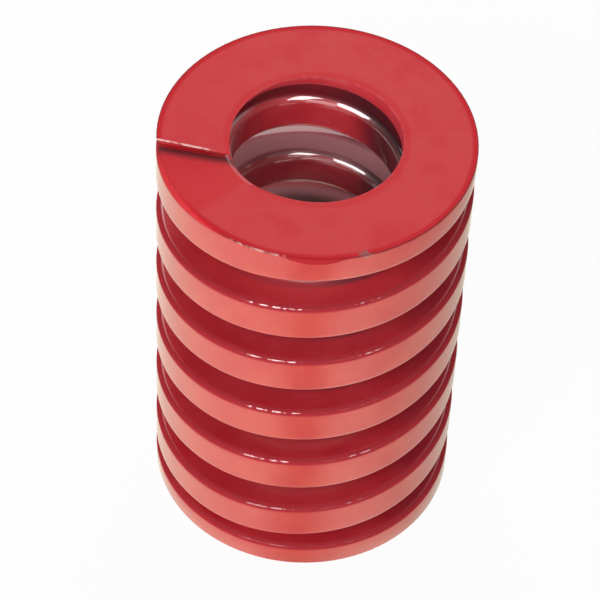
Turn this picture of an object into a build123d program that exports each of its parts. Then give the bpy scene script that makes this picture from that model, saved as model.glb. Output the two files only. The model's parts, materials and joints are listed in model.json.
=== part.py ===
from build123d import *
from build123d.topology import SkipClean
import math
import os

# A heavy die spring, made from one length of wire of rounded rectangular section.
# The wire is coiled right-handed. Each end coil is closed on to its neighbour and ground flat,
# so the wire thins away to a tip there. The spring goes into a 50 mm hole, over a 25 mm rod.
# The origin is the middle of the bottom face and +Z runs up the axis. Sizes are in
# millimetres. Angles are in degrees, anticlockwise from +X as seen from above.

OUTSIDE_DIA = 49.5
INSIDE_DIA = 26.5
FREE_LENGTH = 76.0
WIRE_HEIGHT = 7.2      # the section's size along the axis
OUTER_CORNER = 1.0     # radius of the section's corners at the outside
INNER_CORNER = 1.5     # radius of the section's corners at the bore
TURNS = 7.386          # from tip to tip, the two end coils included
TIP_THICKNESS = 0.35   # what the grinding leaves of the wire at each tip
TIP_GAP = 0.45         # open gap between each tip and the coil next to it
TIP_ANGLE = 199.0      # where the top tip begins, at the bore
TIP_SLANT = 30.6       # how far the sheared end leans from radial, back along the wire

# How steeply the wire climbs, as (turns from the tip, steepness) points joined by lines.
# Over an end coil only the ratios count, because that coil's whole climb is set below.
# Past it a steepness of 1 is the even climb of the working coils.
TOP_END_COIL = ((0, 0.95), (0.58, 0.95), (0.64, 0.39), (0.72, 0.39), (0.83, 1.6), (1, 1.6))
TOP_OPENING = ((1, 1), (1.1, 1.09), (1.62, 1.09), (1.72, 1))
BOTTOM_END_COIL = ((0, 1.12), (0.38, 1.12), (0.44, 0.26), (0.72, 0.26), (0.78, 1.8), (1, 1.8))
BOTTOM_OPENING = ((1, 1), (1.36, 1), (1.42, 0.4), (1.46, 0.44), (1.55, 1))

# The solid is built in short lengths, each lofted through a few sections of the wire. A corner's
# round is made of flats, and each flank of two strips, so that the long twisted faces stay light.
LENGTHS_PER_TURN = 6
STEPS_PER_LENGTH = 4
CORNER_FLATS = 2
TRIM = 0.05            # left on the inside and outside of a length, and trimmed off true

OUTER_RADIUS = OUTSIDE_DIA / 2
INNER_RADIUS = INSIDE_DIA / 2
END_COIL_CLIMB = WIRE_HEIGHT + TIP_GAP
WHOLE_CLIMB = FREE_LENGTH + WIRE_HEIGHT - 2 * TIP_THICKNESS


def from_bottom(points):
    """Points counted from the bottom tip, counted from the top tip instead."""
    return tuple((TURNS - turns, steepness) for turns, steepness in reversed(points))


# The whole wire as three stretches, from the top tip down, each with its climb in millimetres.
STRETCHES = (
    (TOP_END_COIL, END_COIL_CLIMB),
    (TOP_OPENING + from_bottom(BOTTOM_OPENING), WHOLE_CLIMB - 2 * END_COIL_CLIMB),
    (from_bottom(BOTTOM_END_COIL), END_COIL_CLIMB),
)


def area_under(points, position):
    """Area under the line through the points, up to a position."""
    total = 0.0
    for (start, first), (end, last) in zip(points, points[1:]):
        reach = min(max(position - start, 0.0), end - start)
        slope = (last - first) / (end - start)
        total += reach * (first + slope * reach / 2)
    return total


def underside(turn):
    """Height of the wire's underside, a number of turns down from the top tip."""
    fallen = 0.0
    for points, climb in STRETCHES:
        fallen += climb * area_under(points, turn) / area_under(points, TURNS)
    return FREE_LENGTH - TIP_THICKNESS - fallen


def angle_at(turn):
    """Angle round the axis, a number of turns down from the top tip."""
    return TIP_ANGLE - 360 * turn


def rounded_corner(radius, height, rounding, start):
    """Points of a quarter round about a centre, as (radius, height), from a start angle in the section."""
    turned = [math.radians(start + 90 * n / CORNER_FLATS) for n in range(CORNER_FLATS + 1)]
    return [(radius + rounding * math.cos(a), height + rounding * math.sin(a)) for a in turned]


def section(turn):
    """Outline of the wire's section, standing in the plane through the axis at a turn."""
    angle = math.radians(angle_at(turn))
    outward = Vector(math.cos(angle), math.sin(angle), 0)
    low = underside(turn)
    high = low + WIRE_HEIGHT
    inside = INNER_RADIUS - TRIM
    outside = OUTER_RADIUS + TRIM
    middle = (inside + outside) / 2
    outline = (
        rounded_corner(outside - OUTER_CORNER, low + OUTER_CORNER, OUTER_CORNER, -90)
        + rounded_corner(outside - OUTER_CORNER, high - OUTER_CORNER, OUTER_CORNER, 0)
        + [(middle, high)]
        + rounded_corner(inside + INNER_CORNER, high - INNER_CORNER, INNER_CORNER, 90)
        + rounded_corner(inside + INNER_CORNER, low + INNER_CORNER, INNER_CORNER, 180)
        + [(middle, low)]
    )
    return Wire.make_polygon([outward * radius + Vector(0, 0, height) for radius, height in outline])


def wire_length(start, end):
    """Solid length of wire between two turns, before it is trimmed."""
    step = (end - start) / STEPS_PER_LENGTH
    return Solid.make_loft([section(start + step * count) for count in range(STEPS_PER_LENGTH + 1)])


def envelope():
    """Tube that every coil lies in, longer than the spring at both ends."""
    height = FREE_LENGTH + 4 * WIRE_HEIGHT
    tube = Cylinder(OUTER_RADIUS, height) - Cylinder(INNER_RADIUS, height)
    return Pos(0, 0, FREE_LENGTH / 2) * tube


def sheared(length, turn, lean, into_wire):
    """The length with its tip cut off along an upright plane through the bore edge at a turn."""
    at_bore = Vector(INNER_RADIUS, 0, 0).rotate(Axis.Z, angle_at(turn))
    keep_side = Vector(0, into_wire, 0).rotate(Axis.Z, angle_at(turn) + lean)
    return split(length, bisect_by=Plane(origin=at_bore, z_dir=keep_side), keep=Keep.TOP)


def coil_spring():
    """The whole spring, ground flat to its free length."""
    count = math.ceil(TURNS * LENGTHS_PER_TURN)
    tube = envelope()
    lengths = [wire_length(TURNS * n / count, TURNS * (n + 1) / count) & tube for n in range(count)]
    lengths[0] = sheared(lengths[0], 0, -TIP_SLANT, -1)
    lengths[-1] = sheared(lengths[-1], TURNS, TIP_SLANT, 1)
    ground = Box(OUTSIDE_DIA * 2, OUTSIDE_DIA * 2, FREE_LENGTH, align=(Align.CENTER, Align.CENTER, Align.MIN))
    with SkipClean():
        coiled = lengths[0].fuse(*lengths[1:], glue=True)
        return coiled & ground


os.makedirs("parts", exist_ok=True)
export_step(coil_spring(), "parts/coil_spring.step")
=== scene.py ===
# %% [markdown]
# # A red die spring
#
# A die spring pushes the plates of a press tool apart. It is one length of heavy wire with a
# rounded rectangular section, coiled right-handed and painted red. Both ends are closed and
# ground flat, so the wire thins away to a tip at the top and at the bottom.
#
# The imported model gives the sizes: the bore, the outside and the free length. This script makes
# the same coil again with finer steps and true round corners, and then gives it its paint.

import json
import math

import bmesh
import bpy
from mathutils import Matrix, Vector


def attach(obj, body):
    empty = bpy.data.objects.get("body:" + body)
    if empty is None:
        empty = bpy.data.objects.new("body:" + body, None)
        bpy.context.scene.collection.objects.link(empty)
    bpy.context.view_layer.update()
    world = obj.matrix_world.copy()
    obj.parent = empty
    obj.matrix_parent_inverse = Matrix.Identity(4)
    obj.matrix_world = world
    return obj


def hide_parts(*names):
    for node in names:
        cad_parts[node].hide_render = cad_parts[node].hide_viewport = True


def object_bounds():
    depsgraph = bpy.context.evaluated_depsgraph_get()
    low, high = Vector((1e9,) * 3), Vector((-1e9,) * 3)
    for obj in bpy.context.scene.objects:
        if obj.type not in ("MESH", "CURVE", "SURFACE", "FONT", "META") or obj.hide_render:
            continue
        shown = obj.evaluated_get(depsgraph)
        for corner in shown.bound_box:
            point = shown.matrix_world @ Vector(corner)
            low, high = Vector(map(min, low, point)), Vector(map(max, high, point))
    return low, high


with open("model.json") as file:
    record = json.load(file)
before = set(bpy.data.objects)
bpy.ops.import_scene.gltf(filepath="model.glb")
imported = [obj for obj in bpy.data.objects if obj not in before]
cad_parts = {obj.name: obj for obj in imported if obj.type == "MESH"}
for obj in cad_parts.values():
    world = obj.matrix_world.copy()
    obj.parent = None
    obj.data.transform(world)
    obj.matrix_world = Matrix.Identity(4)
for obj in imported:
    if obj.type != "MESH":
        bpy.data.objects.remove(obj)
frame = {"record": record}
cad_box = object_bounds()
print("CAD box in m", [[round(number, 5) for number in corner] for corner in cad_box])

# %% [markdown]
# ## Sizes of the wire
#
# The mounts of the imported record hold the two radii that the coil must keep: the rod goes through
# the bore, and the outside goes into a round pocket. The free length is the height of the box.
# The rest are the spring's own sizes, in millimetres, as the maker would write them down.

# %% Sizes
MM = 0.001
mounts = {mount["name"]: mount for mount in frame["record"]["mounts"]}
INNER_RADIUS = mounts["guide_rod_bore"]["dims"]["r_mm"]
OUTER_RADIUS = mounts["pocket_fit"]["dims"]["r_mm"]
FREE_LENGTH = (cad_box[1].z - cad_box[0].z) / MM
WIRE_HEIGHT = 7.2      # the section's size along the axis
OUTER_CORNER = 1.0     # radius of the section's corners at the outside
INNER_CORNER = 1.5     # radius of the section's corners at the bore
TURNS = 7.386          # from tip to tip, the two end coils included
TIP_THICKNESS = 0.35   # what the grinding leaves of the wire at each tip
TIP_GAP = 0.45         # open gap between each tip and the coil next to it
TIP_ANGLE = 199.0      # degrees anticlockwise from +X to where the top tip begins, at the bore
TIP_SLANT = 30.6       # degrees that the sheared end leans from radial, back along the wire
print("bore radius", INNER_RADIUS, "outside radius", OUTER_RADIUS, "length", round(FREE_LENGTH, 2))

# %% [markdown]
# ## How the wire climbs
#
# A coiling machine changes the pitch as it winds. Each end coil is pressed close to the next one,
# then the wire opens out, and the working coils climb evenly. Here the steepness is a line through
# a few points, counted in turns from a tip, and the height is the area under that line. That gives
# a smooth wire from a handful of numbers, where a table of heights would show its joints.

# %% Heights along the wire
TOP_END_COIL = ((0, 0.95), (0.58, 0.95), (0.64, 0.39), (0.72, 0.39), (0.83, 1.6), (1, 1.6))
TOP_OPENING = ((1, 1), (1.1, 1.09), (1.62, 1.09), (1.72, 1))
BOTTOM_END_COIL = ((0, 1.12), (0.38, 1.12), (0.44, 0.26), (0.72, 0.26), (0.78, 1.8), (1, 1.8))
BOTTOM_OPENING = ((1, 1), (1.36, 1), (1.42, 0.4), (1.46, 0.44), (1.55, 1))
END_COIL_CLIMB = WIRE_HEIGHT + TIP_GAP
WHOLE_CLIMB = FREE_LENGTH + WIRE_HEIGHT - 2 * TIP_THICKNESS


def from_bottom(points):
    """Points counted from the bottom tip, counted from the top tip instead."""
    return tuple((TURNS - turns, steepness) for turns, steepness in reversed(points))


STRETCHES = (
    (TOP_END_COIL, END_COIL_CLIMB),
    (TOP_OPENING + from_bottom(BOTTOM_OPENING), WHOLE_CLIMB - 2 * END_COIL_CLIMB),
    (from_bottom(BOTTOM_END_COIL), END_COIL_CLIMB),
)


def area_under(points, position):
    """Area under the line through the points, up to a position."""
    total = 0.0
    for (start, first), (end, last) in zip(points, points[1:]):
        reach = min(max(position - start, 0.0), end - start)
        total += reach * (first + (last - first) / (end - start) * reach / 2)
    return total


def underside(turn):
    """Height of the wire's underside in millimetres, a number of turns down from the top tip."""
    fallen = 0.0
    for points, climb in STRETCHES:
        fallen += climb * area_under(points, turn) / area_under(points, TURNS)
    return FREE_LENGTH - TIP_THICKNESS - fallen


print("even pitch", round(underside(3) - underside(4), 3), "mm a turn")

# %% [markdown]
# ## The section
#
# The wire is rolled to a rectangle with soft corners, a little softer on the side that becomes the
# bore. A small plane with bevelled corners makes that outline. Four cuts beside the corners then
# add points that hold the flats flat, so that smooth shading doesn't make a pillow of them.

# %% Section outline
CORNER_STEPS = 8
HOLD = 0.12      # how far the holding points stand from the rounds
ON_PLANE = 1e-8  # a point this near to a cutting plane, in metres, counts as lying on it


def round_corners(mesh, corners, radius):
    """Rounds the given corner points of a flat outline."""
    bmesh.ops.bevel(mesh, geom=corners, offset=radius * MM, offset_type="OFFSET",
                    segments=CORNER_STEPS, profile=0.5, affect="VERTICES", material=-1)


def add_points(mesh, place, across):
    """Adds points where a plane crosses an outline of edges."""
    bmesh.ops.bisect_plane(mesh, geom=mesh.verts[:] + mesh.edges[:], dist=ON_PLANE,
                           plane_co=place, plane_no=across)


def wire_section():
    """The outline as a loop of edges, standing in the XZ plane."""
    mesh = bmesh.new()
    bmesh.ops.create_grid(mesh, x_segments=1, y_segments=1, size=0.5)
    size = Matrix.Diagonal(((OUTER_RADIUS - INNER_RADIUS) * MM, WIRE_HEIGHT * MM, 1, 1))
    middle = Vector(((OUTER_RADIUS + INNER_RADIUS) / 2, 0, WIRE_HEIGHT / 2)) * MM
    stand_up = Matrix.Translation(middle) @ Matrix.Rotation(math.radians(90), 4, "X") @ size
    bmesh.ops.transform(mesh, matrix=stand_up, verts=mesh.verts)
    outer = [v for v in mesh.verts if v.co.x > middle.x]
    inner = [v for v in mesh.verts if v.co.x < middle.x]
    round_corners(mesh, outer, OUTER_CORNER)
    round_corners(mesh, inner, INNER_CORNER)
    bmesh.ops.delete(mesh, geom=mesh.faces[:], context="FACES_ONLY")
    for radius in (INNER_RADIUS + INNER_CORNER + HOLD, OUTER_RADIUS - OUTER_CORNER - HOLD):
        add_points(mesh, (radius * MM, 0, 0), (1, 0, 0))
    for height in (INNER_CORNER + HOLD, WIRE_HEIGHT - INNER_CORNER - HOLD):
        add_points(mesh, (0, 0, height * MM), (0, 0, 1))
    return mesh


spring = wire_section()
print("section", len(spring.verts), "points")

# %% [markdown]
# ## Winding the wire
#
# The Spin operator turns an outline about an axis and leaves a skin behind it. Its dvec moves each
# step along as well, which makes a helix. One spin has one pitch, so the wire is wound in many
# short spins, each with the climb that belongs to its place. Two layers keep what the paint will
# need later: how many turns down the wire a point is, and how high in the wire's section.

# %% Wind it
STEPS_PER_TURN = 96
turn_layer = spring.verts.layers.float.new("turn")
rise_layer = spring.verts.layers.float.new("rise")
for point in spring.verts:
    point[rise_layer] = point.co.z / MM
to_top_tip = (Matrix.Translation((0, 0, underside(0) * MM))
              @ Matrix.Rotation(math.radians(TIP_ANGLE), 4, "Z"))
bmesh.ops.transform(spring, matrix=to_top_tip, verts=spring.verts)

steps = math.ceil(TURNS * STEPS_PER_TURN)
edge_of_wire = spring.verts[:] + spring.edges[:]
for step in range(steps):
    turn = TURNS * (step + 1) / steps
    fall = (underside(turn) - underside(TURNS * step / steps)) * MM
    wound = bmesh.ops.spin(spring, geom=edge_of_wire, cent=(0, 0, 0), axis=(0, 0, 1),
                           dvec=(0, 0, fall), angle=math.radians(-360 * TURNS / steps), steps=1)
    edge_of_wire = wound["geom_last"]
    for part in edge_of_wire:
        if isinstance(part, bmesh.types.BMVert):
            part[turn_layer] = turn
print("wound", len(spring.faces), "faces in", steps, "steps")

# %% [markdown]
# ## Shearing the ends
#
# The wire was cut off its coil with a slanted shear, which the grinding then left as a thin tip. A
# plane through the bore edge of each end does the same here. Only the wire near that end is given
# to the cut, so that the plane doesn't go through the coils beside it.

# %% Shear both ends
SHEARED_TURNS = 0.12  # how much wire at each end is given to the cut


def shear(mesh, turn, lean, into_wire):
    """Cuts the wire's end off at a slant, closes it with a face and counts that face's edges."""
    def near_end(point):
        return abs(point[turn_layer] - turn) < SHEARED_TURNS

    near = {face for face in mesh.faces if all(near_end(point) for point in face.verts)}
    geometry = {part for face in near for part in (face, *face.edges, *face.verts)}
    angle = math.radians(TIP_ANGLE - 360 * turn)
    at_bore = Matrix.Rotation(angle, 3, "Z") @ Vector((INNER_RADIUS * MM, 0, 0))
    away = Matrix.Rotation(angle + math.radians(lean), 3, "Z") @ Vector((0, -into_wire, 0))
    bmesh.ops.bisect_plane(mesh, geom=list(geometry), dist=ON_PLANE, plane_co=at_bore,
                           plane_no=away, clear_outer=True)
    rim = [edge for edge in mesh.edges if edge.is_boundary and near_end(edge.verts[0])]
    bmesh.ops.contextual_create(mesh, geom=rim)
    return len(rim)


top_edges = shear(spring, 0, -TIP_SLANT, -1)
bottom_edges = shear(spring, TURNS, TIP_SLANT, 1)
print("top end", top_edges, "edges, bottom end", bottom_edges, "edges")

# %% [markdown]
# ## Grinding the end faces
#
# Both ends are ground square to the axis until the spring has its free length. Bisect Plane takes
# away what stands past each face, and the ring that it leaves is filled.

# %% Grind both faces
SAME_POINT = 1e-7  # points nearer than this, in metres, are merged


def grind(mesh, height, outward):
    """Cuts the coil flat at a height, closes the cut with a face and counts that face's edges."""
    geometry = mesh.verts[:] + mesh.edges[:] + mesh.faces[:]
    bmesh.ops.bisect_plane(mesh, geom=geometry, dist=ON_PLANE, plane_co=(0, 0, height * MM),
                           plane_no=(0, 0, outward), clear_outer=True)
    rim = [edge for edge in mesh.edges if edge.is_boundary]
    bmesh.ops.contextual_create(mesh, geom=rim)
    return len(rim)


top_edges = grind(spring, FREE_LENGTH, 1)
bottom_edges = grind(spring, 0, -1)
print("top face", top_edges, "edges, bottom face", bottom_edges, "edges")
bmesh.ops.remove_doubles(spring, verts=spring.verts, dist=SAME_POINT)
bmesh.ops.recalc_face_normals(spring, faces=spring.faces)
open_edges = [edge for edge in spring.edges if not edge.is_manifold]
print("edges left open", len(open_edges), "volume", round(spring.calc_volume() / MM**3), "mm3")

# %% [markdown]
# ## Breaking the sharp rims
#
# Grinding leaves a knife edge round each end face, which the maker breaks before painting, and the
# paint rounds it a little more. A narrow bevel on those edges alone does that. It also gives the
# rim a place to catch the light. Where the ground face runs out on to the wire's own flank there
# is no edge to break, so the angle between the two faces decides. Every face is then shaded
# smooth, but the end faces keep a sharp outline, and so does every edge with a large angle.

# %% Break the rims
RIM = 0.14        # width of the broken edge
RIM_STEPS = 3
RIM_ANGLE = 25    # degrees; an end face's edge with less than this isn't broken
SHARP_ANGLE = 40  # degrees; an edge with more than this is shaded sharp
MANY_SIDES = 100  # only the two end faces have more sides than this


def beside_end_face(edge):
    """True for an edge of an end face."""
    return any(len(face.verts) > MANY_SIDES for face in edge.link_faces)


def turns_more_than(edge, degrees):
    """True where the faces on both sides of an edge meet at more than an angle."""
    return edge.calc_face_angle(0) > math.radians(degrees)


rims = [edge for edge in spring.edges if beside_end_face(edge) and turns_more_than(edge, RIM_ANGLE)]
bmesh.ops.bevel(spring, geom=rims, offset=RIM * MM, offset_type="OFFSET", segments=RIM_STEPS,
                profile=0.5, affect="EDGES", material=-1, clamp_overlap=True)
for face in spring.faces:
    face.smooth = True
for edge in spring.edges:
    if beside_end_face(edge) or turns_more_than(edge, SHARP_ANGLE):
        edge.smooth = False
print(len(rims), "rim edges broken,", len(spring.calc_loop_triangles()), "triangles")

# %% [markdown]
# ## Which paint goes where
#
# The ground faces get the satin paint, and so does the flank of the wire where it comes level with
# the top face, because the grinding wheel has brushed it. A number on each point tells the paint:
# 1 where the surface faces along the axis close to an end face.

# %% Mark the ground surfaces
BRUSHED_DEPTH = 1.5  # how far from an end face the flank is still brushed
LEVEL = 0.95         # a face whose normal has more than this along the axis faces along it
satin_layer = spring.verts.layers.float.new("satin")
spring.normal_update()
for point in spring.verts:
    height = point.co.z / MM
    near_end = min(abs(FREE_LENGTH - height), abs(height)) < BRUSHED_DEPTH
    level = any(abs(face.normal.z) > LEVEL for face in point.link_faces)
    point[satin_layer] = 1.0 if near_end and level else 0.0
ground_points = [point for point in spring.verts if point[satin_layer]]
print(len(ground_points), "of", len(spring.verts), "points are on a ground surface")

# %% [markdown]
# ## Handing it to the scene
#
# The coil becomes one object at the origin. It takes the place of the imported model's spring and
# moves with the frame's root.

# %% Make it a piece of the scene
spring_mesh = bpy.data.meshes.new("painted_spring")
spring.to_mesh(spring_mesh)
spring.free()
painted_spring = bpy.data.objects.new("painted_spring", spring_mesh)
bpy.context.scene.collection.objects.link(painted_spring)
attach(painted_spring, "root")
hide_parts("coil_spring")
print("spring in mm", [round(size / MM, 2) for size in painted_spring.dimensions])

# %% [markdown]
# ## Shader maths as plain maths
#
# A paint is a graph of nodes. Written out link by link it is hard to read, so a small class wraps a
# socket, and adding, taking away or multiplying two of them adds the Math node. Every other node
# comes from one method, which is given the node's type, its settings and its inputs.
#
# Most masks below are ramps: 0 on one side of a band, 1 on the other, and soft between. Two masks
# multiplied are 1 only where both are, and 1 - mask is the rest.

# %% A graph that reads as maths


class Value:
    """One output of a paint's graph."""

    def __init__(self, graph, socket):
        self.graph = graph
        self.socket = socket

    def maths(self, operation, *values):
        return self.graph.node("ShaderNodeMath", {"operation": operation}, dict(enumerate(values)))

    def __add__(self, other):
        return self.maths("ADD", self, other)

    def __radd__(self, other):
        return self.maths("ADD", other, self)

    def __sub__(self, other):
        return self.maths("SUBTRACT", self, other)

    def __rsub__(self, other):
        return self.maths("SUBTRACT", other, self)

    def __mul__(self, other):
        return self.maths("MULTIPLY", self, other)

    def __rmul__(self, other):
        return self.maths("MULTIPLY", other, self)

    def __truediv__(self, other):
        return self.maths("DIVIDE", self, other)

    def __pow__(self, power):
        return self.maths("POWER", self, power)

    def __abs__(self):
        return self.maths("ABSOLUTE", self)

    def ramp(self, low, high):
        """0 below low and 1 above high, with a soft step between."""
        settings = {"interpolation_type": "SMOOTHSTEP"}
        inputs = {"Value": self, "From Min": low, "From Max": high}
        return self.graph.node("ShaderNodeMapRange", settings, inputs)


class Graph:
    """A node tree that nodes can be added to, of a material or of the world."""

    def __init__(self, owner):
        owner.use_nodes = True
        self.tree = owner.node_tree

    def node(self, kind, settings, inputs, output=0):
        """Adds any node: its settings first, then the numbers or links of its inputs."""
        made = self.tree.nodes.new(kind)
        for setting, choice in settings.items():
            setattr(made, setting, choice)
        for place, given in inputs.items():
            if isinstance(given, Value):
                self.tree.links.new(given.socket, made.inputs[place])
            else:
                made.inputs[place].default_value = given
        return Value(self, made.outputs[output])

    def mix(self, share, first, second):
        """A colour between two colours. The Mix node's colours are its sockets 6, 7 and 2."""
        inputs = {"Factor": share, 6: first, 7: second}
        return self.node("ShaderNodeMix", {"data_type": "RGBA"}, inputs, output=2)

    def speckle(self, place, size, detail=2.0):
        """Noise with spots about so many millimetres across, between 0 and 1."""
        inputs = {"Vector": place, "Scale": 1 / (size * MM), "Detail": detail}
        return self.node("ShaderNodeTexNoise", {"noise_dimensions": "3D"}, inputs)

    def axes(self, vector, names):
        """The named axes of a vector, as one value each."""
        return [self.node("ShaderNodeSeparateXYZ", {}, {"Vector": vector}, output=axis)
                for axis in names]

    def coordinates(self, kind):
        """Places on the surface, or directions in the room."""
        return self.node("ShaderNodeTexCoord", {}, {}, output=kind)

    def rays(self):
        """Three values, 1 for what the camera sees, what gloss shows and what glass shows."""
        return [self.node("ShaderNodeLightPath", {}, {}, output=ray)
                for ray in ("Is Camera Ray", "Is Glossy Ray", "Is Transmission Ray")]

    def attribute(self, name):
        """A number stored on the mesh."""
        return self.node("ShaderNodeAttribute", {"attribute_name": name}, {}, output="Fac")

    def count(self, step):
        """Prints how many nodes the graph has after a step."""
        print("nodes after", step + ":", len(self.tree.nodes))


class Paint(Graph):
    """A material's graph, ending in one Principled surface."""

    def __init__(self, name, constants):
        self.material = bpy.data.materials.new(name)
        super().__init__(self.material)
        self.surface = self.tree.nodes["Principled BSDF"]
        for socket, number in constants.items():
            self.surface.inputs[socket].default_value = number

    def feed(self, socket, value):
        """Gives a value to one of the surface's own sockets."""
        self.tree.links.new(value.socket, self.surface.inputs[socket])


# %% [markdown]
# ## The paint
#
# The wire is sprayed red and baked, so it has a hard gloss with a slight orange peel. The ground
# faces are painted too, but the grinding under them is rough, so they look satin. The gloss is the
# Coat of one Principled shader, with a high IOR that makes it mirror strongly. The stored "satin"
# layer turns it off on the ground faces, and so both finishes share a material.
#
# Paint isn't even. It is deeper where it ran together. Noise in object coordinates gives those
# patches their size in millimetres.

# %% The paint, and where a point of it is
red = Paint("red_enamel", {"Specular IOR Level": 0.25, "Coat IOR": 1.85, "Coat Roughness": 0.05})
place = red.coordinates("Object")
x, y, z = (axis / MM for axis in red.axes(place, "XYZ"))
radius = (x * x + y * y) ** 0.5
red.count("its coordinates")

# %% [markdown]
# ## The two finishes
#
# The outside face of the wire is painted a warmer red than the flanks, a painted tint that stands
# in for the warm light that the face catches. Each finish has two or three reds that are blended by
# soft noise, because no sprayed part is even. The ground face is also a deeper red toward the left.
# The "rise" layer says how high in the section a point is, and the "satin" layer chooses between
# the finishes.

# %% Gloss
FLANK_RED = (0.60, 0.032, 0.046, 1)
FLANK_DEEP = (0.56, 0.020, 0.036, 1)
FACE_RED = (0.575, 0.014, 0.015, 1)
FACE_WARM = (0.605, 0.032, 0.022, 1)
rise = red.attribute("rise")
flank_colour = red.mix(red.speckle(place, 6).ramp(0.35, 0.7), FLANK_RED, FLANK_DEEP)
# the face's warmer reds are a painted tint of warm light
face_in_painted_warm_light = red.mix(red.speckle(place, 7, detail=3).ramp(0.4, 0.65), FACE_RED, FACE_WARM)
on_face = radius.ramp(OUTER_RADIUS - 0.7, OUTER_RADIUS - 0.2)
on_face = on_face * (1 - rise.ramp(WIRE_HEIGHT - 0.9, WIRE_HEIGHT - 0.6))
gloss_colour = red.mix(on_face, flank_colour, face_in_painted_warm_light)
red.count("the gloss")

# %% Satin
SATIN_RED = (0.65, 0.022, 0.028, 1)
SATIN_DEEP = (0.63, 0.009, 0.020, 1)
SATIN_DULL = (0.63, 0.034, 0.036, 1)
deep_patches = red.speckle(place, 7, detail=5).ramp(0.48, 0.66)
dull_spots = red.speckle(place, 2.2, detail=4).ramp(0.5, 0.75)
toward_left = 1 - x.ramp(-22, -5)
satin_colour = red.mix(deep_patches, SATIN_RED, SATIN_DEEP)
satin_colour = red.mix(dull_spots * 0.6, satin_colour, SATIN_DULL)
satin_colour = red.mix(toward_left * 0.6, satin_colour, SATIN_DEEP)
red.count("the satin")

# %% Both together
GLOSS_ROUGHNESS = 0.38
SATIN_ROUGHER = 0.12
satin = red.attribute("satin")
colour = red.mix(satin, gloss_colour, satin_colour)
coat = 1 - satin
roughness = GLOSS_ROUGHNESS + satin * SATIN_ROUGHER
red.count("choosing between them")

# %% [markdown]
# ## Deep between the coils
#
# Shade is painted in between the coils. The flanks are painted darker toward the bore, as the shade
# under the coil above, and more so on the right, as shade on the side away from the light. From the
# middle of the second coil down, the part of each flank that is near the bore is a pale greyish
# mauve. Above that it is painted dark red, as shade in the first gap, and from the fourth coil down
# the part right at the bore is painted nearly black, as deep shade.
#
# The "turn" layer says which coil a point is on. The masks start a little past one turn, because
# the wire before that is the ground end coil.

# %% Flanks between the coils
SHADE_PURPLE = (0.10, 0.016, 0.036, 1)
GREYISH_MAUVE = (0.44, 0.20, 0.23, 1)
DARK_SHADE_RED = (0.13, 0.020, 0.028, 1)
turn = red.attribute("turn")
on_flank = rise.ramp(WIRE_HEIGHT - 0.4, WIRE_HEIGHT - 0.2) + (1 - rise.ramp(0.2, 0.4))
under_a_coil = on_flank * turn.ramp(1.02, 1.1)
# painted shade: the flanks darker toward the bore, under the coil above
shadowed = under_a_coil * (1 - radius.ramp(19.8, 20.9)) * (0.3 + 0.6 * x.ramp(-2, 8))
# painted shade on the flanks at the right
shaded_right_flanks = under_a_coil * x.ramp(12, 19) * 0.3
past_first_gap = turn.ramp(1.55, 1.75)
# a pale greyish mauve on the flanks near the bore, from the second coil down
mauve_near_bore = on_flank * (1 - radius.ramp(17.4, 18.8)) * past_first_gap
# painted shade: dark red in the first gap, near the bore
first_gap = on_flank * (1 - radius.ramp(15, 17)) * turn.ramp(1.02, 1.15) * (1 - past_first_gap)
# painted shade: nearly black at the bore from the fourth coil down
deepest = on_flank * (1 - radius.ramp(15.2, 17.4)) * turn.ramp(2.85, 3.05)
colour = red.mix(shadowed, colour, SHADE_PURPLE)
colour = red.mix(shaded_right_flanks, colour, SHADE_PURPLE)
colour = red.mix(mauve_near_bore, colour, GREYISH_MAUVE)
colour = red.mix(first_gap * 0.55, colour, DARK_SHADE_RED)
red.count("the flanks")

# %% [markdown]
# ### The wall of the bore
#
# The wall of the bore is painted darker the further down it is, as shade that deepens into the bore.
# Its right side is painted nearly black, as shade on the side that the light hardly reaches.

# %% Wall of the bore
DEEP_SHADE = (0.035, 0.012, 0.018, 1)
at_bore = 1 - radius.ramp(INNER_RADIUS + 1.0, INNER_RADIUS + 1.7)
# painted shade: the bore darker further down, and nearly black on its right
bore_wall = at_bore * turn.ramp(1.34, 1.62) * (0.4 + 0.4 * turn.ramp(2.2, 3.4))
shaded_right_wall = at_bore * turn.ramp(1.1, 1.3) * x.ramp(4, 10)
colour = red.mix(bore_wall, colour, DARK_SHADE_RED)
colour = red.mix(shaded_right_wall * 0.85, colour, DEEP_SHADE)
colour = red.mix(deepest * 0.9, colour, DEEP_SHADE)
red.count("the bore")

# %% [markdown]
# ## Edges of the wire
#
# The rolled corners on the outside rub against everything. The upper one has lost its gloss, except
# in small sparks along its ridge, at the front, and it is painted a deep red, a painted shade over
# the rounding. There are hardly any sparks just right of the middle, fewer on the right than on the
# left, and fewer toward the bottom. On the end coil that corner was brushed by the wheel, so it is
# satin like the ground face. A pale line is painted along the lower corner, mostly toward the right,
# as a painted reflection of the white floor.
#
# The height in the section and the distance from the axis find the rounded corners together,
# wherever the wire happens to be on its helix.

# %% Find the corners
outside = radius.ramp(OUTER_RADIUS - OUTER_CORNER, OUTER_RADIUS - 0.6 * OUTER_CORNER)
upper_corner = outside * rise.ramp(WIRE_HEIGHT - OUTER_CORNER, WIRE_HEIGHT - 0.6 * OUTER_CORNER)
# painted reflection: a pale line along the lower corner, mostly toward the right
lower_corner_reflection = outside * (1 - rise.ramp(0.5, 1.2)) * x.ramp(-10, 20) * (1 - y.ramp(0, 8))
on_end_coil = 1 - turn.ramp(1.0, 1.05)
end_corner = upper_corner * on_end_coil
red.count("finding the corners")

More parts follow.
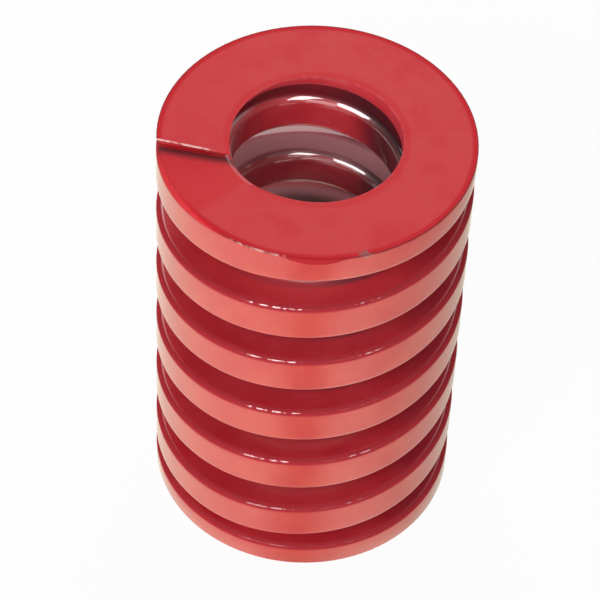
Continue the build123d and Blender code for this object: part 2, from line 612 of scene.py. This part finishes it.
# %% Sparks
ridge = rise.ramp(WIRE_HEIGHT - 0.43, WIRE_HEIGHT - 0.37)
ridge = ridge * (1 - rise.ramp(WIRE_HEIGHT - 0.29, WIRE_HEIGHT - 0.23))
along_front = x.ramp(-11.2, -9.8) * (1 - x.ramp(10, 12))
fewer_right = 1 - 0.9 * x.ramp(-2, 0) + 0.6 * x.ramp(2.5, 4.5)
fewer_below = 1 - 0.4 * turn.ramp(5.2, 5.4) - 0.35 * turn.ramp(6.2, 6.4)
broken = red.speckle(place, 0.9, detail=3).ramp(0.42, 0.58)
sparks = ridge * along_front * fewer_right * fewer_below * broken
red.count("the sparks")

# %% Rubbed corners
# the deep red is a painted shade on the upper corner; the pale colour serves as painted highlights
# and reflections on edges, and as dust in the specks
EDGE_SHADE_RED = (0.37, 0.006, 0.016, 1)
PALE_GLINT_AND_DUST = (0.96, 0.62, 0.58, 1)
rubbed = upper_corner * (1 - 0.6 * sparks)
# the upper corner is painted a deep red, a painted shade over the rounding
colour = red.mix(upper_corner, colour, EDGE_SHADE_RED)
colour = red.mix(lower_corner_reflection * 0.3, colour, PALE_GLINT_AND_DUST)
colour = red.mix(end_corner, colour, SATIN_RED)
coat = coat * (1 - rubbed) * (1 - end_corner)
roughness = roughness + 0.5 * rubbed
red.count("the corners")

# %% [markdown]
# ## Rims of the ground face
#
# Beside the tip the wire dips under the ground face, where the wheel only brushed it, so it is
# duller there. Round the outside runs a band of deep red, and a dark line on the edge itself, which
# is a painted shade. At the bore the paint is dulled, and a pale painted highlight shows in short
# dashes.
# Each is a narrow band in millimetres, and fine noise cuts the dashes.

# %% Dip beside the tip, and the rolled outer edge
OUTER_BAND_RED = (0.60, 0.002, 0.012, 1)
below_top = FREE_LENGTH - z
near_top = 1 - below_top.ramp(0.15, 0.4)
dip = satin * turn.ramp(0.925, 0.94) * on_end_coil
outer_band = near_top * radius.ramp(OUTER_RADIUS - 1.2, OUTER_RADIUS - 0.5)
colour = red.mix(outer_band * 0.85, colour, OUTER_BAND_RED)
roughness = roughness + 0.25 * dip + 0.35 * outer_band
red.count("the dip and the rolled edge")

# %% Rim of the bore
RIM_HIGHLIGHT_RED = (0.64, 0.10, 0.11, 1)
dashes = red.speckle(place, 1.1, detail=3).ramp(0.42, 0.58)
bore_rim = near_top * (1 - radius.ramp(INNER_RADIUS + 0.1, INNER_RADIUS + 0.35))
inner_edge = (1 - radius.ramp(INNER_RADIUS + 0.9, INNER_RADIUS + 1.5)) * on_end_coil
# painted highlight: pale dashes along the rim of the bore
colour = red.mix(bore_rim * (0.15 + 0.45 * dashes), colour, RIM_HIGHLIGHT_RED)
coat = coat * (1 - 0.85 * inner_edge) * (1 - bore_rim)
roughness = roughness + 0.2 * inner_edge + 0.25 * bore_rim
red.count("the rim of the bore")

# %% [markdown]
# ### The run
#
# At the front the paint has run over the edge and down the outside, in one shallow bulge. Its lower
# edge is a parabola. The dark line, a painted shade on the edge, stops where the run is, and to the
# left of the run a row of pale dashes is painted on the rim as highlights.

# %% Outer rim, run and knocks
RIM_SHADE = (0.22, 0.010, 0.016, 1)
RUN_RED = (0.42, 0.002, 0.012, 1)
RUN_MIDDLE = 0.5
RUN_HALF_LENGTH = 5.6
RUN_DEPTH = 1.3
front_half = 1 - y.ramp(-1, 0)
along_run = (x - RUN_MIDDLE) / RUN_HALF_LENGTH
run_edge = (1 - along_run * along_run) * RUN_DEPTH
outer_rim = near_top * radius.ramp(OUTER_RADIUS - 0.2, OUTER_RADIUS - 0.12)
beside_run = 1 - run_edge.ramp(0, 0.2) * front_half
run = radius.ramp(OUTER_RADIUS - 0.3, OUTER_RADIUS - 0.15) * front_half
run = run * (run_edge - below_top).ramp(0, 0.12)
# painted highlights: pale dashes on the rim, left of the run
rim_glints = outer_rim * dashes * x.ramp(-13, -10) * (1 - x.ramp(-5, -3)) * front_half
# painted shade: a dark line on the outer edge, beside the run
colour = red.mix(outer_rim * beside_run * 0.8, colour, RIM_SHADE)
colour = red.mix(run, colour, RUN_RED)
colour = red.mix(rim_glints * 0.55, colour, PALE_GLINT_AND_DUST)
coat = coat * (1 - outer_rim) * (1 - run)
roughness = roughness + 0.4 * run
red.count("the run and the knocks")

# %% [markdown]
# ## The seam
#
# On the top face the thin tip lies over the coil below it. Shade is painted into the corner beside
# the tip and on the tip's end face, and a pale painted highlight runs along the tip's edge. All
# follow the plane of the sheared end, so the distance from that plane places them.

# %% Places round the seam
tip_way = Matrix.Rotation(math.radians(TIP_ANGLE), 3, "Z") @ Vector((1, 0, 0))
off_tip = Matrix.Rotation(math.radians(TIP_ANGLE - TIP_SLANT), 3, "Z") @ Vector((0, 1, 0))
from_tip = x * off_tip.x + y * off_tip.y - off_tip.dot(tip_way * INNER_RADIUS)
on_tip_side = (x * tip_way.x + y * tip_way.y).ramp(8, 9) * (1 - below_top.ramp(1.3, 1.7))
at_end_face = 1 - abs(from_tip).ramp(0.2, 0.3)
upper_edge = 1 - below_top.ramp(0.13, 0.2)
print("seam plane faces", [round(part, 3) for part in off_tip])

# %% Seam
SEAM_SHADE = (0.055, 0.012, 0.016, 1)
# painted shade: dark in the corner beside the tip
seam_shade = on_tip_side * from_tip.ramp(0.05, 0.25) * (1 - from_tip.ramp(0.5, 2.3))
end_face = on_tip_side * at_end_face * (1 - below_top.ramp(0.36, 0.42))
# painted highlight: pale dashes along the tip's edge
tip_glint = end_face * upper_edge * (0.15 + 0.7 * dashes) * radius.ramp(15.5, 17)
colour = red.mix(seam_shade * 0.78, colour, SEAM_SHADE)
# painted shade on the tip's end face, with the top face's red on its upper edge
colour = red.mix(end_face, colour, RIM_SHADE)
colour = red.mix(end_face * upper_edge, colour, SATIN_RED)
colour = red.mix(tip_glint, colour, PALE_GLINT_AND_DUST)
coat = coat * (1 - end_face * (1 - tip_glint))
roughness = roughness + 0.3 * end_face
red.count("the seam")

# %% [markdown]
# ## Chip and specks
#
# One chip on the front rim shows grey metal. Dust and small nibs in the paint are a Voronoi
# pattern: only the very middle of a cell is coloured, and only in the few cells whose own random
# colour is high.

# %% Chip
BARE_STEEL = (0.22, 0.14, 0.13, 1)
CHIP = (8.0, -23.1, FREE_LENGTH)
CHIP_SIZE = (1.3, 0.8, 0.8)  # half its length, width and depth
RAGGEDNESS = 3.6
off_x, off_y, off_z = ((axis - middle) / size
                       for axis, middle, size in zip((x, y, z), CHIP, CHIP_SIZE))
chip_distance = (off_x * off_x + off_y * off_y + off_z * off_z) ** 0.5
ragged = red.speckle(place, 0.6, detail=4) - 0.5
chip = 1 - (chip_distance + RAGGEDNESS * ragged).ramp(0.2, 1.0)
colour = red.mix(chip * 0.6, colour, BARE_STEEL)
red.count("the chip")

# %% Specks
SPECK_SPACING = 4.5
cells = {"Vector": place, "Scale": 1 / (SPECK_SPACING * MM)}
from_middle, lot = (
    red.node("ShaderNodeTexVoronoi", {"voronoi_dimensions": "3D"}, cells, output=answer)
    for answer in ("Distance", "Color"))
chosen = red.node("ShaderNodeSeparateColor", {}, {"Color": lot}, output="Red").ramp(0.8, 0.82)
specks = chosen * (1 - from_middle.ramp(0.02, 0.05))
colour = red.mix(specks * 0.6, colour, PALE_GLINT_AND_DUST)
red.count("the specks")

# %% [markdown]
# ## Orange peel
#
# Sprayed enamel dries with a very fine ripple. It is far too shallow to model, so it is a Bump of
# two hundredths of a millimetre. After it the values go to the shader, and the paint to the mesh.

# %% Peel, and the values to the shader
PEEL_DEPTH = 0.02 * MM
PEEL_SIZE = 0.9
PEEL_STRENGTH = 0.25
peel = red.speckle(place, PEEL_SIZE, detail=1)
ripple = {"Strength": PEEL_STRENGTH, "Distance": PEEL_DEPTH, "Height": peel}
red.feed("Base Color", colour)
red.feed("Roughness", roughness)
red.feed("Coat Weight", coat)
red.feed("Normal", red.node("ShaderNodeBump", {}, ripple, output="Normal"))
spring_mesh.materials.append(red.material)
red.count("the peel")

# %% [markdown]
# ## The stage
#
# A pale floor, so that the gloss has something bright to show. In the picture it is nearly white,
# and it keeps the spring's soft shadow. In the gloss it is a warm white, like a sheet of card. A
# strip of it through the spring, from front to back, is dimmer, as if someone stood in its light,
# and so is the right.

# %% Floor material
FLOOR_GREY = (0.86, 0.84, 0.82, 1)
WHITE = (1, 1, 1, 1)
WARM_WHITE = (1, 0.95, 0.80, 1)
UNLIT = (0, 0, 0, 1)
PICTURE_GLOW = 0.94  # the rest of what the camera sees is the lit floor, with its shadow
DIMMER_MIDDLE = 0.52
DIMMER_RIGHT = 0.28


def pale_floor():
    """A matt white floor, with a glow that keeps it pale in the picture and in the gloss."""
    paint = Paint("pale_floor", {"Base Color": FLOOR_GREY, "Roughness": 0.9})
    seen, in_gloss, in_glass = paint.rays()
    across, away = paint.axes(paint.coordinates("Object"), "XY")
    slant = across / abs(away)
    middle = 1 - abs(slant).ramp(0.0, 0.42)
    right = slant.ramp(0.5, 1.3)
    card = paint.mix(1 - DIMMER_MIDDLE * middle - DIMMER_RIGHT * right, UNLIT, WARM_WHITE)
    shown = {"Color": paint.mix(seen, card, WHITE), "Strength": 1.0}
    glow = paint.node("ShaderNodeEmission", {}, shown)
    share = seen * PICTURE_GLOW + in_gloss + in_glass
    matt = Value(paint, paint.surface.outputs[0])
    mixed = paint.node("ShaderNodeMixShader", {}, {0: share, 1: matt, 2: glow})
    output = paint.tree.nodes["Material Output"]
    paint.tree.links.new(mixed.socket, output.inputs["Surface"])
    paint.count("the floor's glow")
    return paint.material


# %% Floor
FLOOR_SIZE = 3.0
FLOOR_GAP = 0.05 * MM  # keeps the floor off the ground face that stands on it
floor_shape = bmesh.new()
bmesh.ops.create_grid(floor_shape, x_segments=1, y_segments=1, size=FLOOR_SIZE / 2)
floor_mesh = bpy.data.meshes.new("floor")
floor_shape.to_mesh(floor_mesh)
floor_shape.free()
floor_mesh.materials.append(pale_floor())
floor = bpy.data.objects.new("floor", floor_mesh)
floor.location.z = -FLOOR_GAP
bpy.context.scene.collection.objects.link(floor)
print("floor", FLOOR_SIZE, "m square")

# %% [markdown]
# ## The room
#
# Gloss shows the room, so the room matters as much as the lamps. A white wall stands behind the
# spring, and the side that the camera looks from is dim. The camera itself sees white all round.
# As a light the room is quiet, so that the lamps make the shadows between the coils.

# %% Room
DIM_SIDE = 0.12
ROOM_LIGHT = 0.10
surround = bpy.data.worlds.new("surround")
room = Graph(surround)
backward, upward = room.axes(room.coordinates("Generated"), "YZ")
wall = backward.ramp(-0.1, 0.4) * (1 - upward.ramp(0.35, 0.65))
seen, in_gloss, in_glass = room.rays()
mirrored = in_gloss + in_glass
level = mirrored * (DIM_SIDE + (1 - DIM_SIDE) * wall) + (1 - mirrored) * ROOM_LIGHT
level = seen + (1 - seen) * level
background = room.tree.nodes["Background"]
background.inputs["Color"].default_value = WHITE
room.tree.links.new(level.socket, background.inputs["Strength"])
bpy.context.scene.world = surround
room.count("the room")

# %% [markdown]
# ## The lamps
#
# Five soft lamps light the spring: one high at the front left, one low in front, one low at the
# left, and two behind. Two tall cards of light show in the gloss only. They draw the bright streaks
# on the rolled corners and in the bore, and leave the colour of the paint alone.

# %% Lamps
SPRING_MIDDLE = Vector((0, 0, FREE_LENGTH / 2 * MM))
LAMP_DISTANCE = 0.80


def soft_lamp(name, azimuth, elevation, width, height, watts, only_gloss=False):
    """A soft lamp that looks at the spring. Azimuth 0 is the front, 90 the right."""
    lamp = bpy.data.lights.new(name, "AREA")
    lamp.shape = "RECTANGLE"
    lamp.size = width
    lamp.size_y = height
    lamp.energy = watts
    around, up = math.radians(azimuth), math.radians(elevation)
    way = Vector((math.sin(around) * math.cos(up), -math.cos(around) * math.cos(up), math.sin(up)))
    stand = bpy.data.objects.new(name, lamp)
    stand.location = SPRING_MIDDLE + way * LAMP_DISTANCE
    stand.rotation_euler = way.to_track_quat("Z", "Y").to_euler()
    stand.visible_diffuse = not only_gloss
    bpy.context.scene.collection.objects.link(stand)


soft_lamp("left_front_lamp", -28, 40, 0.46, 0.10, 2.45)
soft_lamp("low_front_lamp", 5, 10, 0.50, 0.40, 3.15)
soft_lamp("low_left_lamp", -80, 8, 0.50, 0.30, 1.45)
soft_lamp("back_lamp", 180, 49, 0.80, 0.80, 4.2)
soft_lamp("low_back_lamp", 180, 10, 0.80, 0.30, 2.0)
soft_lamp("right_card", 37, 38, 0.30, 0.62, 5.5, only_gloss=True)
soft_lamp("left_card", -28, 38, 0.42, 0.62, 8.5, only_gloss=True)
print("lamps", len(bpy.data.lights))

# %% [markdown]
# ## The camera
#
# A long lens stands well back and looks down on the spring, a little turned.

# %% Camera
CAMERA_ELEVATION = math.radians(49.14)
CAMERA_ROLL = math.radians(2.86)
DIAMETERS_AWAY = 10.39  # how many outside diameters the camera stands from its aim
LENS = 190.2            # in millimetres, like the sensor
SENSOR = 36
AIM = Vector((-1.44, 0, FREE_LENGTH / 2 + 0.05)) * MM  # close to the middle of the spring

lens = bpy.data.cameras.new("camera")
lens.sensor_width = SENSOR
lens.lens = LENS
lens.clip_start = 0.01
lens.clip_end = 10
camera = bpy.data.objects.new("camera", lens)
bpy.context.scene.collection.objects.link(camera)
back = Vector((0, -math.cos(CAMERA_ELEVATION), math.sin(CAMERA_ELEVATION)))
camera_distance = DIAMETERS_AWAY * 2 * OUTER_RADIUS * MM
camera.matrix_world = (Matrix.Translation(AIM + back * camera_distance)
                       @ back.to_track_quat("Z", "Y").to_matrix().to_4x4()
                       @ Matrix.Rotation(CAMERA_ROLL, 4, "Z"))
bpy.context.scene.camera = camera
bpy.context.scene.view_settings.view_transform = "Standard"
print("camera stands", round(camera_distance, 3), "m away")
